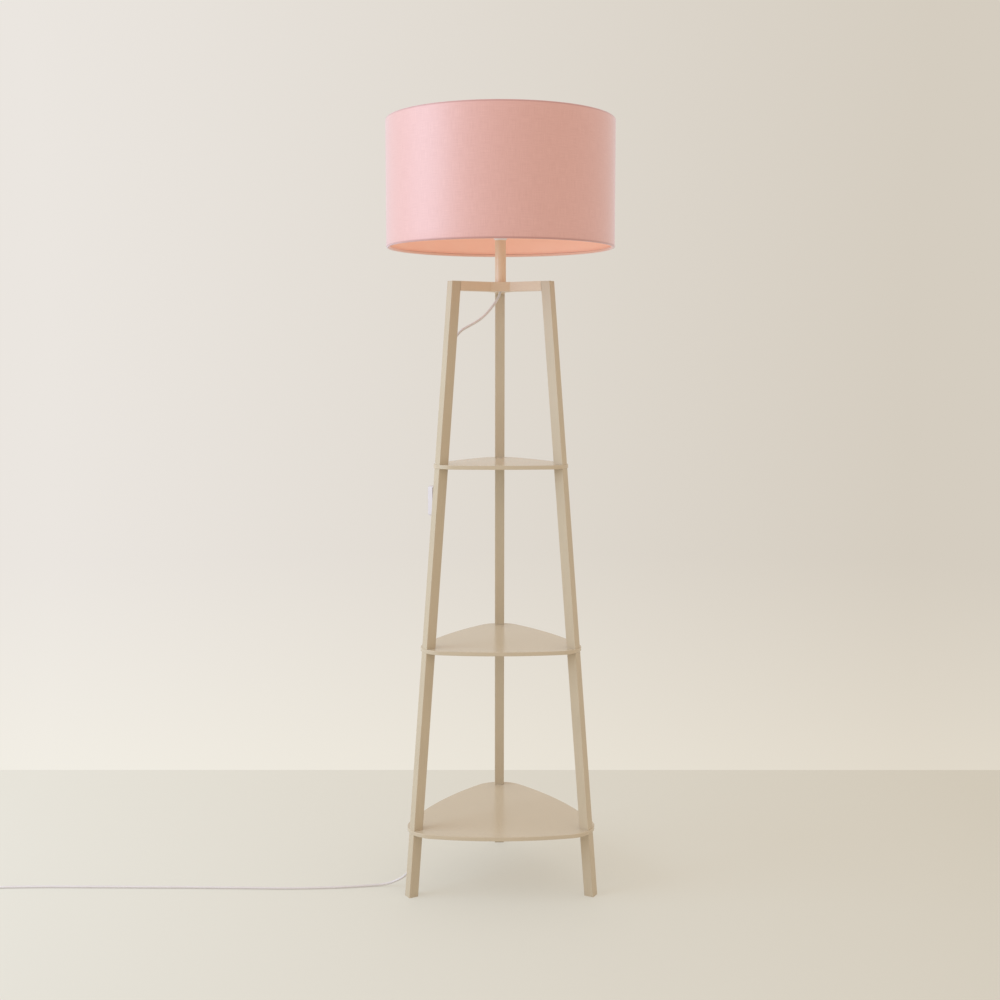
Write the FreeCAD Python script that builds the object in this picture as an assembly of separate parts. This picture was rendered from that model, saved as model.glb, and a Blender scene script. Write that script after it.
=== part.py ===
import FreeCAD, Part
import math
import os

from FreeCAD import Vector

# Floor lamp with three rounded shelves held between three leaning legs, and a drum shade.
# +Z is up, the origin lies on the floor under the shade's axis, and -Y is the front.
# Lengths are millimetres and angles are degrees.

os.makedirs("parts", exist_ok=True)

# ---------------------------------------------------------------- legs and shelves
LEG_ANGLES = {"front_left": 210.0, "front_right": 330.0, "rear": 90.0}
leg_side = 20.0                 # square section of a leg
leg_edge_round = 1.2            # rounding of the long edges
foot_radius = 218.4             # axis to a leg's outer face, on the floor
leg_lean = 4.8                  # lean of a leg towards the axis
foot_height = 128.0             # floor to the lowest shelf's underside
bay_height = 357.5              # clear height above each shelf
head_rise = 1.7                 # upper leg pieces beyond one bay
shelf_thickness = 8.0
shelf_overhang = 1.5            # shelf rim beyond a leg's outer face
shelf_side_radius = 650.0       # bow of the long sides
shelf_corner_radii = {"bottom": 62.0, "middle": 50.0, "top": 46.0}
shelf_edge_round = 0.8
shelf_hole_radius = 4.0         # hole for the joining stud

# ---------------------------------------------------------------- joining hardware
stud_radius = 3.0
stud_length = 35.0
insert_radius = 5.0
insert_length = 13.0
insert_inset = 1.0              # insert below the end of the wood
thread_gap = 0.05               # radial gap of screwed and glued fits
dowel_radius = 3.0
dowel_length = 24.0
dowel_spread = 5.0              # dowel to the middle of the arm
dowel_end_gap = 0.5             # room for glue past each end of a dowel

# ---------------------------------------------------------------- head and stem
arm_width = 20.0
arm_height = 18.4
hub_flat = 22.2                 # axis to the hub's free faces
hub_recess_radius = 11.0
hub_recess_depth = 12.0
stem_radius = 10.9
stem_wall = 1.2
stem_height = 83.0
plug_thickness = 4.0            # discs that centre the tube on the rod
rod_radius = 5.0
rod_bore_radius = 3.5
rod_tail = 1.0                  # rod below its nut
rod_head = 8.0                  # rod above the foot of the lamp holder
washer_radius = 9.5
washer_thickness = 1.5
nut_flats = 14.0
nut_height = 4.5
bush_thickness = 4.0
bush_bore_radius = 3.2
bush_mouth_radius = 4.2

# ---------------------------------------------------------------- lamp holder
holder_foot_radius = 11.0
holder_shoulder_radius = 15.0
holder_shoulder_height = 6.5
holder_radius = 19.5
holder_round_height = 17.0
holder_round_mid = (18.2, 10.8)  # point of the rounding between shoulder and side
holder_cap_height = 25.5
holder_wall = 2.2
holder_floor = 6.0
spigot_height = 6.0             # neck of the cap inside the body
spigot_radius = 16.9
spigot_wall = 1.9
body_height = 33.0
flange_radius = 22.0
flange_height = 3.0
sleeve_radius = 19.7
sleeve_chamfer = 1.0
insert_flange_height = 2.5
insert_depth = 10.0
screw_shell_radius = 13.35      # inside of the threaded shell
screw_shell_wall = 0.4
screw_shell_height = 20.5
contact_radius = 4.0
contact_height = 2.0
terminal_size = (5.0, 6.0, 8.0)
terminal_offset = 7.0
fit_gap = 0.1                   # radial gap of push fits

# ---------------------------------------------------------------- shade
shade_radius = 227.0
shade_height = 248.8
fitter_drop = 44.2              # shade's lower rim below its fitter
fabric_thickness = 0.8
hem_radius = 2.7                # fabric rolled round the ring wire
hem_depth = 5.0                 # hem turned in
liner_thickness = 0.45
liner_gap = 0.05
liner_inset = 6.0               # liner short of the shade's ends
ring_wire_radius = 1.5
spoke_radius = 1.5
spoke_slot_gap = 0.5            # room round a spoke where it passes the hem
spoke_weld = 0.3                # spoke sunk in the ring wire
fitter_outer_radius = 31.0
fitter_bore_gap = 0.5
fitter_thickness = 2.0
collar_radius = 27.0
collar_height = 8.0
collar_ribs = 24
collar_rib_radius = 1.0

# ---------------------------------------------------------------- bulb
bulb_cap_radius = 13.25
bulb_cap_wall = 0.6
bulb_cap_height = 22.0
bulb_tip_height = 3.5
bulb_tip_radius = 5.0
bulb_tip_rim = 1.0
bulb_plate_height = 2.0         # insulating plate inside the cap
bulb_radius = 30.0
bulb_neck_radius = 13.2
bulb_neck_height = 2.0
bulb_shoulder_radius = 40.0
bulb_glass_wall = 1.0
bulb_seat_gap = 0.1

# ---------------------------------------------------------------- cord
cord_radius = 2.5
cord_side_gap = 2.0             # cord to the leg that it runs down
cord_hole_gap = 1.5             # shelf hole round the cord
core_radius = 0.9
core_spread = 1.3
lead_head = 1.0                 # sheath above the rod
clip_heights = (1036.0, 640.0, 330.0, 88.0)
clip_length = 8.0
clip_half_width = 4.5
clip_wall = 1.2
clip_bore_gap = 0.6
arc_share = 0.45                # share of the shorter run that an arc takes

# ---------------------------------------------------------------- switch on the cord
switch_length = 60.0
switch_width = 28.0
switch_half = 10.0              # thickness of each shell
switch_middle = 793.5           # height of the middle
switch_reach = 137.0            # axis to the middle, square to the leg
switch_leg_gap = 0.5
switch_corner = 5.0
switch_edge = 2.0
switch_wall = 2.0
switch_pocket_half = 20.0       # half length of the pocket in the shells
switch_cord_depth = 7.0
rocker_window_half = 12.2
rocker_window_width = 12.0
rocker_radius = 11.7
rocker_side_gap = 0.2
rocker_depth = 7.0              # pivot to the rocker's outer face
rocker_back = 2.5               # pivot to the rocker's inner face
rocker_dish = 1.4
rocker_tilt = 8.0
pivot_depth = 4.5               # pivot behind the cover's face
pivot_radius = 1.25
pivot_gap = 0.05
lug_thickness = 2.0
lug_half = 3.5
lug_gap = 0.5
switch_contact_size = (6.0, 8.0, 4.0)
switch_contact_offset = 15.0
screw_radius = 1.5
screw_head_radius = 2.8
screw_head_height = 2.0
screw_length = 14.0
screw_offset = (9.0, 24.5)

# ---------------------------------------------------------------- coil, tie and plug
coil_centre = (-1138.0, -30.0)
coil_outer_radius = 31.5
coil_inner_radius = 25.8
coil_turns = 2.25
coil_layer_step = 5.5
coil_rise = 0.9                 # lower turn above the floor, for the tie
climb_turns = 0.5
tie_thickness = 0.8
tie_gap = 0.3
tie_width = 6.0
tie_floor_gap = 0.1
tie_turn = 0.5                  # turns along the coil to the tie
tail_length = 42.0
relief_length = 25.0
relief_radius = 4.4
relief_tip_radius = 3.1
plug_length = 35.0
plug_width = 26.0
plug_neck_width = 15.0
plug_height = 14.0
plug_edge = 3.0
pin_radius = 2.0
pin_length = 19.0
pin_spacing = 18.6
pin_root = 8.0                  # pin inside the plug's body

# ---------------------------------------------------------------- derived levels
shelf_pitch = bay_height + shelf_thickness
SHELF_NAMES = ("bottom", "middle", "top")
SHELF_Z = {name: foot_height + i * shelf_pitch for i, name in enumerate(SHELF_NAMES)}
leg_top = foot_height + len(SHELF_NAMES) * shelf_pitch + head_rise
head_bottom = leg_top - arm_height
stem_top = leg_top + stem_height
lean_slope = math.tan(math.radians(leg_lean))
leg_depth = leg_side / math.cos(math.radians(leg_lean))
hub_arm_face = (hub_flat - arm_width / 2 * math.cos(math.radians(30))) * 2
holder_seat = stem_top + holder_cap_height
fitter_z = holder_seat + flange_height
collar_z = fitter_z + fitter_thickness
insert_top = holder_seat + spigot_height + insert_flange_height
holder_top = holder_seat + body_height
bulb_z = insert_top + contact_height + bulb_seat_gap
shade_bottom = fitter_z - fitter_drop
shade_top = shade_bottom + shade_height
cord_side = leg_side / 2 + cord_side_gap + cord_radius
switch_face = leg_side / 2 + switch_leg_gap
switch_split = switch_face + switch_half
switch_front = switch_face + 2 * switch_half
pivot_side = switch_front - pivot_depth
BIG = 2000.0
COIL_CHECKS = 400               # points compared for the gap between the coil's turns
UP = Vector(0, 0, 1)
ORIGIN = Vector(0, 0, 0)


# ---------------------------------------------------------------- helpers
def box(x0, x1, y0, y1, z0, z1):
    """Block between two corners."""
    return Part.makeBox(x1 - x0, y1 - y0, z1 - z0, Vector(x0, y0, z0))


def disc(radius, z0, z1, x=0.0, y=0.0):
    """Upright cylinder."""
    return Part.makeCylinder(radius, z1 - z0, Vector(x, y, z0))


def pipe(outer, inner, z0, z1):
    """Upright tube round the axis."""
    return disc(outer, z0, z1).cut(disc(inner, z0 - 1, z1 + 1))


def rod(start, end, radius):
    """Cylinder from one point to another."""
    run = end - start
    return Part.makeCylinder(radius, run.Length, start, run)


def profile_face(items):
    """Face in the XZ plane from points (r, z); a pair of points is an arc through the first."""
    edges = []
    start = Vector(items[0][0], 0, items[0][1])
    here = start
    for item in items[1:] + [items[0]]:
        if isinstance(item[0], tuple):
            middle = Vector(item[0][0], 0, item[0][1])
            there = Vector(item[1][0], 0, item[1][1])
            edges.append(Part.Arc(here, middle, there).toShape())
        else:
            there = Vector(item[0], 0, item[1])
            if (there - here).Length > 1e-6:
                edges.append(Part.LineSegment(here, there).toShape())
        here = there
    return Part.Face(Part.Wire(edges))


def turned(items):
    """Solid turned round the axis from a profile."""
    return profile_face(items).revolve(ORIGIN, UP, 360)


def around(shape, angle):
    """Copy turned about the axis; a shape drawn along +X then lies at that angle."""
    copy = shape.copy()
    copy.rotate(ORIGIN, UP, angle)
    return copy


def leaned(shape):
    """Copy moved from a leg's own frame (outer face at x = 0, foot at z = 0) to the +X leg."""
    copy = shape.copy()
    copy.rotate(ORIGIN, Vector(0, 1, 0), -leg_lean)
    copy.translate(Vector(foot_radius, 0, 0))
    return copy


def leg_middle(z):
    """Distance of a leg's middle from the axis at one height."""
    return foot_radius - lean_slope * z - leg_depth / 2


def along_leg(z, length, radius, start=0.0):
    """Cylinder on the +X leg's middle line from one height, upwards if length is positive."""
    way = Vector(-math.sin(math.radians(leg_lean)), 0, math.cos(math.radians(leg_lean)))
    if length < 0:
        way = way * -1
    foot = Vector(leg_middle(z), 0, z) + way * start
    return Part.makeCylinder(radius, abs(length), foot, way)


def group(shapes):
    """Separate solids kept in one node."""
    return Part.makeCompound(shapes)


PARTS = {}


def keep(name, shape):
    """Note a finished node; its solids are counted and written at the end."""
    PARTS[name] = shape


# ---------------------------------------------------------------- legs
def leg_bar():
    """Whole leaning bar of the +X leg with rounded long edges."""
    bar = box(-leg_side, 0, -leg_side / 2, leg_side / 2, -leg_side * 2, leg_top + leg_side * 2)
    long_edges = [e for e in bar.Edges if e.Length > leg_top]
    return leaned(bar.makeFillet(leg_edge_round, long_edges))


def end_bore(z, way):
    """Bore for an insert and its stud in the end of a leg piece at height z."""
    insert_bore = along_leg(z, way * (insert_inset + insert_length + leg_side), insert_radius
                            + thread_gap, -leg_side)
    reach = stud_length / 2 + insert_inset
    return insert_bore.fuse(along_leg(z, way * reach, stud_radius + 2 * thread_gap))


def dowel_pair(start, reach, radius):
    """Two level cylinders side by side from a distance on the +X arm."""
    z = head_bottom + arm_height / 2
    rods = []
    for side in (-dowel_spread, dowel_spread):
        rods.append(rod(Vector(start, side, z), Vector(start + reach, side, z), radius))
    return rods


def arm_end():
    """Distance from the axis to the leg's inner face at the middle of the arm."""
    return foot_radius - lean_slope * (head_bottom + arm_height / 2) - leg_depth


def make_legs():
    """Four pieces for each leg, cut level where the shelves pass between them."""
    bar = leg_bar()
    floors = [0.0] + [SHELF_Z[n] + shelf_thickness for n in SHELF_NAMES]
    tops = [SHELF_Z[n] for n in SHELF_NAMES] + [leg_top]
    dowel_bores = dowel_pair(arm_end() - dowel_end_gap, dowel_length / 2 + 2 * dowel_end_gap,
                             dowel_radius + thread_gap)
    for piece, low, high in zip(("foot", "lower", "middle", "upper"), floors, tops):
        solid = bar.common(box(0, BIG, -BIG, BIG, low, high))
        if low > 0:
            solid = solid.cut(end_bore(low, 1))
        if high < leg_top:
            solid = solid.cut(end_bore(high, -1))
        else:
            solid = solid.cut(dowel_bores)
        for side, angle in LEG_ANGLES.items():
            keep("leg_" + side + "_" + piece, around(solid, angle))


# ---------------------------------------------------------------- shelves
def polar(radius, angle, z=0.0):
    """Point at a radius and an angle."""
    a = math.radians(angle)
    return Vector(radius * math.cos(a), radius * math.sin(a), z)


def shelf_outline(reach, corner):
    """Three bowed sides that run into round corners; reach is the axis to a corner's tip."""
    centre = reach - corner
    inner = shelf_side_radius - corner
    back = (math.sqrt(4 * inner ** 2 - 3 * centre ** 2) - centre) / 2
    edges = []
    for side in (30.0, 150.0, 270.0):
        bow = polar(-back, side)
        ends = []
        for corner_middle in (polar(centre, side - 60), polar(centre, side + 60)):
            way = corner_middle - bow
            way.normalize()
            ends.append(bow + way * shelf_side_radius)
        edges.append(Part.Arc(ends[0], polar(shelf_side_radius - back, side), ends[1]).toShape())
        turn = FreeCAD.Rotation(UP, 120)
        next_start = turn.multVec(ends[0])
        edges.append(Part.Arc(ends[1], polar(reach, side + 60), next_start).toShape())
    return Part.Face(Part.Wire(edges))


def cord_hole(z):
    """Hole for the cord, beside the +X leg and as far from the axis as the leg's middle."""
    middle = leg_middle(z + shelf_thickness / 2)
    return disc(cord_radius + cord_hole_gap, z - 1, z + shelf_thickness + 1, middle, -cord_side)


def make_shelves():
    """One board for each level, drilled for the studs and for the cord."""
    for name in SHELF_NAMES:
        z = SHELF_Z[name]
        middle_z = z + shelf_thickness / 2
        reach = leg_middle(middle_z) + leg_depth / 2 + shelf_overhang
        board = shelf_outline(reach, shelf_corner_radii[name]).extrude(UP * shelf_thickness)
        rims = [e for e in board.Edges if abs(e.Vertexes[0].Z - e.Vertexes[-1].Z) < 1e-6]
        board = board.makeFillet(shelf_edge_round, rims)
        board.translate(UP * z)
        for angle in LEG_ANGLES.values():
            hole = disc(shelf_hole_radius, z - 1, z + shelf_thickness + 1, leg_middle(middle_z))
            board = board.cut(around(hole, angle))
        board = board.cut(around(cord_hole(z), LEG_ANGLES["front_left"]))
        keep("shelf_" + name, board)


def make_joining_hardware():
    """Studs through the shelves, and the threaded inserts that they screw into."""
    studs = []
    inserts = []
    for name in SHELF_NAMES:
        low = SHELF_Z[name]
        high = low + shelf_thickness
        stud = along_leg(low + shelf_thickness / 2, stud_length, stud_radius, -stud_length / 2)
        bore = stud_radius + thread_gap
        below = along_leg(low, -insert_length, insert_radius, insert_inset)
        below = below.cut(along_leg(low, -leg_side, bore))
        above = along_leg(high, insert_length, insert_radius, insert_inset)
        above = above.cut(along_leg(high, leg_side, bore))
        for angle in LEG_ANGLES.values():
            studs.append(around(stud, angle))
            inserts.append(around(below, angle))
            inserts.append(around(above, angle))
    keep("joining_studs", group(studs))
    keep("insert_nuts", group(inserts))


# ---------------------------------------------------------------- head
def make_head():
    """Three arms glued and dowelled to a six-sided hub and to the legs."""
    corners = []
    for angle in LEG_ANGLES.values():
        for side in (-arm_width / 2, arm_width / 2):
            corners.append(around(Part.Vertex(hub_arm_face, side, head_bottom), angle).Point)
    corners.sort(key=lambda p: math.atan2(p.y, p.x))
    hub = Part.Face(Part.makePolygon(corners + [corners[0]])).extrude(UP * arm_height)
    recess_top = head_bottom + hub_recess_depth
    hub = hub.cut(disc(hub_recess_radius, head_bottom - 1, recess_top))
    hub = hub.cut(disc(rod_radius + fit_gap, head_bottom, leg_top + 1))
    arm = box(hub_arm_face, foot_radius, -arm_width / 2, arm_width / 2, head_bottom, leg_top)
    beyond = leaned(box(-leg_side, BIG, -BIG, BIG, -BIG, BIG))
    arm = arm.cut(beyond)
    dowels = []
    reach = dowel_length / 2
    for joint in (hub_arm_face, arm_end()):
        bores = dowel_pair(joint - reach - dowel_end_gap, 2 * (reach + dowel_end_gap),
                           dowel_radius + thread_gap)
        arm = arm.cut(bores)
        if joint == hub_arm_face:
            for angle in LEG_ANGLES.values():
                hub = hub.cut([around(bore, angle) for bore in bores])
        dowels += dowel_pair(joint - reach, 2 * reach, dowel_radius)
    keep("head_hub", hub)
    placed = []
    for side, angle in LEG_ANGLES.items():
        keep("head_arm_" + side, around(arm, angle))
        placed += [around(dowel, angle) for dowel in dowels]
    keep("head_dowels", group(placed))


# ---------------------------------------------------------------- stem
def make_stem():
    """Painted tube clamped between hub and lamp holder by a hollow threaded rod."""
    keep("stem_tube", pipe(stem_radius, stem_radius - stem_wall, leg_top, stem_top))
    inside = stem_radius - stem_wall - fit_gap
    low = pipe(inside, rod_radius + fit_gap, leg_top, leg_top + plug_thickness)
    high = pipe(inside, rod_radius + fit_gap, stem_top - plug_thickness, stem_top)
    keep("stem_end_plugs", group([low, high]))
    recess_top = head_bottom + hub_recess_depth
    washer_low = recess_top - washer_thickness
    nut_low = washer_low - nut_height
    keep("rod_washer", pipe(washer_radius, rod_radius + fit_gap, washer_low, recess_top))
    flats = nut_flats / 2 / math.cos(math.radians(30))
    ring = [polar(flats, 60 * i, nut_low) for i in range(7)]
    nut = Part.Face(Part.makePolygon(ring)).extrude(UP * nut_height)
    keep("rod_nut", nut.cut(disc(rod_radius + thread_gap, nut_low - 1, recess_top)))
    keep("threaded_rod", pipe(rod_radius, rod_bore_radius, nut_low - rod_tail, stem_top + rod_head))


def make_bush():
    """Plastic disc that closes the hub's recess, with a flared mouth for the cord."""
    top = head_bottom + bush_thickness
    bush = turned([(bush_mouth_radius, head_bottom), (hub_recess_radius - fit_gap, head_bottom),
                   (hub_recess_radius - fit_gap, top), (bush_bore_radius, top),
                   (bush_bore_radius, head_bottom + bush_thickness / 2)])
    keep("cord_bush", bush)


# ---------------------------------------------------------------- lamp holder
def make_holder():
    """Plastic cap on the rod, and the body that screws on it and carries the shade."""
    z = stem_top
    shoulder = z + holder_shoulder_height
    round_top = z + holder_round_height
    inner = spigot_radius - spigot_wall
    cap = turned([(rod_radius + thread_gap, z), (holder_foot_radius, z),
                  (holder_shoulder_radius, shoulder),
                  ((holder_round_mid[0], z + holder_round_mid[1]), (holder_radius, round_top)),
                  (holder_radius, holder_seat), (spigot_radius, holder_seat),
                  (spigot_radius, holder_seat + spigot_height),
                  (inner, holder_seat + spigot_height), (inner, z + holder_cap_height / 2),
                  (holder_shoulder_radius - holder_wall, z + holder_floor + holder_wall),
                  (holder_shoulder_radius - 2 * holder_wall, z + holder_floor),
                  (rod_radius + thread_gap, z + holder_floor)])
    keep("holder_cap", cap)
    seat = holder_seat
    bore = screw_shell_radius + screw_shell_wall + fit_gap
    body = turned([(spigot_radius + fit_gap, seat), (flange_radius, seat),
                   (flange_radius, seat + flange_height), (sleeve_radius, seat + flange_height),
                   (sleeve_radius, holder_top - sleeve_chamfer),
                   (sleeve_radius - sleeve_chamfer, holder_top),
                   (bore, holder_top), (bore, insert_top), (spigot_radius + fit_gap, insert_top)])
    keep("holder_body", body)


def make_holder_inside():
    """Insulating insert with its terminals, centre contact and threaded shell."""
    rest = holder_seat + spigot_height
    neck = spigot_radius - spigot_wall - fit_gap
    insert = disc(spigot_radius, rest, insert_top).fuse(disc(neck, rest - insert_depth, insert_top))
    insert = insert.removeSplitter()
    keep("holder_insert", insert)
    keep("holder_shell", pipe(screw_shell_radius + screw_shell_wall, screw_shell_radius,
                              insert_top, insert_top + screw_shell_height))
    keep("holder_contact", disc(contact_radius, insert_top, insert_top + contact_height))
    wide, deep, tall = terminal_size
    under = rest - insert_depth
    blocks = []
    for side in (-terminal_offset, terminal_offset):
        blocks.append(box(side - wide / 2, side + wide / 2, -deep / 2, deep / 2,
                          under - tall, under))
    keep("holder_terminals", group(blocks))


# ---------------------------------------------------------------- shade
def make_shade_skin():
    """Fabric drum with rolled ends over a stiff liner and two ring wires."""
    edge = shade_radius
    flap = edge - 2 * hem_radius
    low = shade_bottom + hem_radius
    high = shade_top - hem_radius
    wall = fabric_thickness
    centre = edge - hem_radius
    bend = hem_radius - wall
    fabric = turned([(edge, low), (edge, high), ((centre, shade_top), (flap, high)),
                     (flap, shade_top - hem_depth), (flap + wall, shade_top - hem_depth),
                     (flap + wall, high), ((centre, high + bend), (edge - wall, high)),
                     (edge - wall, low), ((centre, low - bend), (flap + wall, low)),
                     (flap + wall, shade_bottom + hem_depth), (flap, shade_bottom + hem_depth),
                     (flap, low), ((centre, shade_bottom), (edge, low))])
    for angle in LEG_ANGLES.values():
        start, end = spoke_line()
        way = end - start
        way.normalize()
        slot = rod(start, end + way * spoke_weld, spoke_radius + spoke_slot_gap)
        fabric = fabric.cut(around(slot, angle))
    keep("shade_fabric", fabric)
    liner_edge = edge - wall - liner_gap
    keep("shade_liner", pipe(liner_edge, liner_edge - liner_thickness,
                             shade_bottom + liner_inset, shade_top - liner_inset))
    rings = [Part.makeTorus(centre, ring_wire_radius, Vector(0, 0, z)) for z in (low, high)]
    keep("shade_rings", group(rings))


def spoke_line():
    """Ends of the +X spoke: the fitter's rim and the upper ring wire."""
    start = Vector(fitter_outer_radius - spoke_radius, 0, fitter_z + fitter_thickness / 2)
    end = Vector(shade_radius - hem_radius, 0, shade_top - hem_radius)
    way = end - start
    way.normalize()
    return start, end - way * (ring_wire_radius - spoke_weld)


def make_shade_frame():
    """Flat fitter ring and the three spokes that hang it from the upper ring wire."""
    fitter = pipe(fitter_outer_radius, sleeve_radius + fitter_bore_gap, fitter_z,
                  fitter_z + fitter_thickness)
    keep("fitter_ring", fitter)
    start, end = spoke_line()
    spoke = rod(start, end, spoke_radius)
    keep("shade_spokes", group([around(spoke, angle) for angle in LEG_ANGLES.values()]))


def make_collar():
    """Ribbed ring that clamps the shade's fitter on the lamp holder."""
    collar = pipe(collar_radius - collar_rib_radius, sleeve_radius + fit_gap, collar_z,
                  collar_z + collar_height)
    for i in range(collar_ribs):
        at = polar(collar_radius - collar_rib_radius, 360 * i / collar_ribs)
        collar = collar.fuse(disc(collar_rib_radius, collar_z, collar_z + collar_height, at.x, at.y))
    keep("shade_collar", collar.removeSplitter())


# ---------------------------------------------------------------- bulb
def bulb_outline(inset, z):
    """Half outline of the glass, drawn in by an inset; z is the cap's rim."""
    neck = bulb_neck_radius - inset
    ball = bulb_radius - inset
    shoulder = bulb_shoulder_radius + inset
    bend_z = z + bulb_neck_height
    across = bulb_neck_radius + bulb_shoulder_radius
    rise = math.sqrt((bulb_radius + bulb_shoulder_radius) ** 2 - across ** 2)
    ball_z = bend_z + rise
    lean = math.atan2(rise, across)
    meet = (ball * math.cos(lean), ball_z - ball * math.sin(lean))
    half = math.pi - lean / 2
    bend = (across + shoulder * math.cos(half), bend_z + shoulder * math.sin(half))
    return [(0, z), (neck, z), (neck, bend_z), (bend, meet), ((ball, ball_z), (0, ball_z + ball))]


def make_bulb():
    """Opal bulb: glass, screw cap and insulated tip."""
    rim = bulb_z + bulb_tip_height + bulb_cap_height
    outer = turned(bulb_outline(0.0, rim))
    inner = turned(bulb_outline(bulb_glass_wall, rim))
    keep("bulb_glass", outer.cut(inner))
    low = bulb_z + bulb_tip_height
    keep("bulb_cap", pipe(bulb_cap_radius, bulb_cap_radius - bulb_cap_wall, low, rim))
    inside = bulb_cap_radius - bulb_cap_wall - thread_gap
    plate = low + bulb_plate_height
    tip = turned([(0, bulb_z), (bulb_tip_radius / 2, bulb_z), (bulb_tip_radius, low - bulb_tip_rim),
                  (inside, low), (inside, plate), (0, plate)])
    keep("bulb_insulator", tip)


# ---------------------------------------------------------------- cord
# Routes are points chosen along the cord. It leaves the hub, drops to the back of the front
# left leg, follows it past the switch to the foot, and runs along the floor to the left.
UPPER_ROUTE = [
    (0.0, 0.0, 1220.3), (0.0, 0.0, 1206.3), (-5.6, -1.7, 1193.5), (-18.5, -6.0, 1175.0),
    (-37.0, -12.5, 1155.0), (-58.5, -21.5, 1141.5), (-78.0, -30.0, 1131.5),
    (-93.0, -36.5, 1113.5), (-103.0, -42.0, 1088.0), (-110.0, -46.6, 1058.0),
    (-114.2, -48.9, 1016.0), (-118.8, -50.0, 966.0), (-122.0, -52.0, 916.0),
    (-124.6, -55.0, 878.0), (-125.9, -55.5, 855.0), (-128.9, -50.8, 837.0),
    (-128.9, -50.8, 816.5)]
LOWER_ROUTE = [
    (-128.9, -50.8, 770.5), (-128.9, -50.8, 750.0), (-134.8, -60.0, 716.0),
    (-139.2, -63.7, 668.0), (-142.4, -65.4, 618.0), (-146.8, -66.0, 566.0),
    (-149.9, -68.4, 524.0), (-152.1, -71.2, 486.0), (-156.4, -71.7, 434.0),
    (-160.8, -73.6, 380.0), (-163.7, -77.8, 330.0), (-167.0, -79.0, 288.0),
    (-172.0, -80.6, 238.0), (-175.9, -83.0, 186.0), (-178.2, -86.1, 140.0),
    (-180.6, -87.6, 102.0), (-182.8, -87.9, 70.0), (-184.2, -82.0, 50.0),
    (-191.5, -69.5, 31.0), (-209.0, -58.5, 15.5), (-234.0, -53.5, 4.4),
    (-266.0, -55.5, 2.6), (-318.0, -64.5, 2.6), (-382.0, -70.8, 2.6), (-448.0, -74.8, 2.6),
    (-516.0, -73.0, 2.6), (-584.0, -71.8, 2.6), (-650.0, -68.6, 2.6), (-720.0, -67.4, 2.6),
    (-790.0, -65.0, 2.6), (-860.0, -64.2, 2.6), (-930.0, -62.2, 2.6), (-988.0, -61.6, 2.6),
    (-1040.0, -60.9, 2.6), (-1082.0, -61.5, 3.0), (-1109.0, -61.5, 3.4), (-1133.0, -61.5, 3.4)]


def cord_tube(points, radius, name):
    """Tube of straight runs joined by arcs as large as the runs allow; prints its radii."""
    spots = [Vector(*p) for p in points]
    edges = []
    here = spots[0]
    radii = []
    for before, corner, after in zip(spots, spots[1:], spots[2:]):
        way_in = corner - before
        way_out = after - corner
        shorter = min(way_in.Length, way_out.Length)
        turn = way_in.getAngle(way_out)
        way_in.normalize()
        way_out.normalize()
        reach = arc_share * shorter
        bend = reach / math.tan(turn / 2)
        radii.append(bend)
        start = corner - way_in * reach
        end = corner + way_out * reach
        halfway = (start + end) * 0.5
        inward = halfway - corner
        inward.normalize()
        centre = corner + inward * (bend / math.cos(turn / 2))
        middle = centre - inward * bend
        edges.append(Part.LineSegment(here, start).toShape())
        edges.append(Part.Arc(start, middle, end).toShape())
        here = end
    edges.append(Part.LineSegment(here, spots[-1]).toShape())
    length = sum(e.Length for e in edges)
    first = spots[1] - spots[0]
    ring = Part.Wire(Part.makeCircle(radius, spots[0], first))
    tube = Part.Wire(edges).makePipeShell([ring], True, False)
    share = tube.Volume / (math.pi * radius ** 2 * length)
    print(name, "length %.1f, volume/section*length %.4f" % (length, share))
    print("  radii", " ".join("%.0f" % r for r in radii))
    return tube


def biarc(start, way_in, end, way_out):
    """Two arcs that leave and arrive along given directions."""
    chord = end - start
    both = way_in + way_out
    a = 2 * (1 - way_in.dot(way_out))
    b = 2 * chord.dot(both)
    c = -chord.dot(chord)
    if a < 1e-9:
        reach = -c / b
    else:
        reach = (-b + math.sqrt(b * b - 4 * a * c)) / (2 * a)
    joint = (start + way_in * reach + end - way_out * reach) * 0.5
    arcs = []
    for near, way, far in ((start, way_in, joint), (end, way_out * -1, joint)):
        corner = near + way * reach
        half = (near + far) * 0.5
        inward = half - corner
        depth = inward.Length
        inward.normalize()
        leg = (far - corner).Length
        opening = math.acos(depth / leg)
        bend = leg * math.tan(opening)
        arcs.append((near, corner + inward * (leg / math.cos(opening) - bend), far))
    first = Part.Arc(*arcs[0]).toShape()
    last = Part.Arc(arcs[1][2], arcs[1][1], arcs[1][0]).toShape()
    return [first, last]


def coil_point(turns):
    """Point of the coil's middle line after a number of turns."""
    z0 = coil_rise + cord_radius
    swell = coil_outer_radius - coil_inner_radius
    radius = coil_inner_radius + swell * (1 + math.cos(2 * math.pi * turns / coil_turns)) / 2
    climb = (turns - (coil_turns - climb_turns) / 2) / climb_turns
    climb = min(max(climb, 0.0), 1.0)
    z = z0 + coil_layer_step * climb * climb * (3 - 2 * climb)
    a = math.radians(-90) - 2 * math.pi * turns
    return Vector(coil_centre[0] + radius * math.cos(a), coil_centre[1] + radius * math.sin(a), z)


def coil_way(turns):
    """Direction of the coil's middle line."""
    step = 1e-5
    way = coil_point(turns + step) - coil_point(turns - step)
    way.normalize()
    return way


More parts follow.
